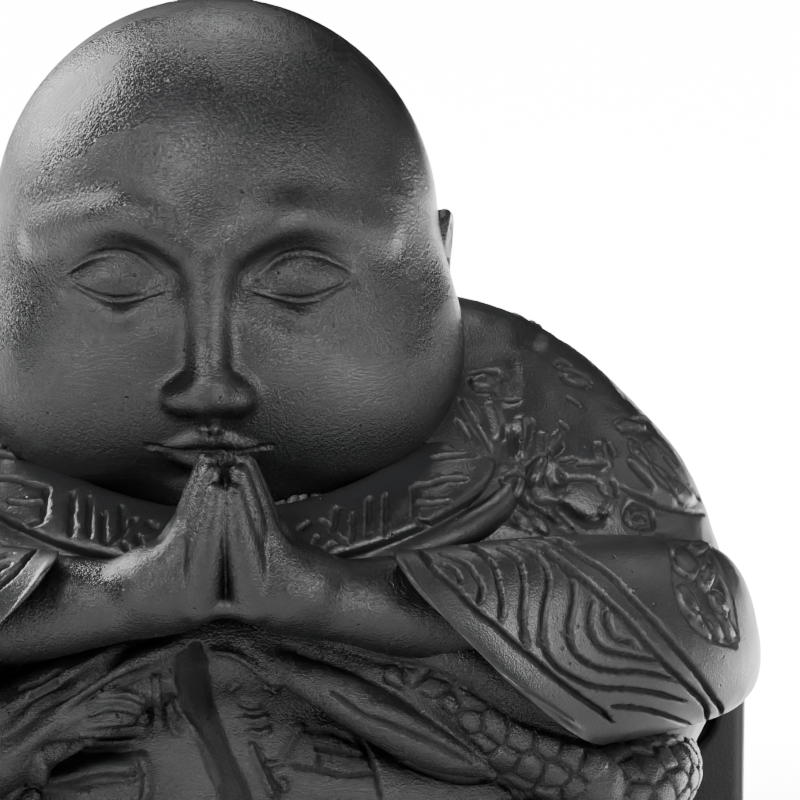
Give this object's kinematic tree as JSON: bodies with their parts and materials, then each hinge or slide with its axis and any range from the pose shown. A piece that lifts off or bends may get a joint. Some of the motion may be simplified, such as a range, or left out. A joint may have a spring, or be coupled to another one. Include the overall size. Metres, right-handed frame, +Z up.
{
  "type": "buddha figurine",
  "caption": "Cast resin figurine of a praying monk with a bald head and wide carved sleeves, sitting cross-legged on a low base with an upright back slab.",
  "frame": {"origin": "middle of the stand's underside, on the surface it stands on", "axes": "+Z up, -Y the way the monk looks, +X to the monk's left hand"},
  "size_m": [0.129, 0.09, 0.1359],
  "materials": {
    "monk_resin": "near-black cast resin, satin, with a fine leathery grain",
    "stand_resin": "near-black cast resin, satin, a little duller than the monk"
  },
  "bodies": {
    "root": {"monk": "monk_resin", "stand": "stand_resin"}
  },
  "joints": []
}
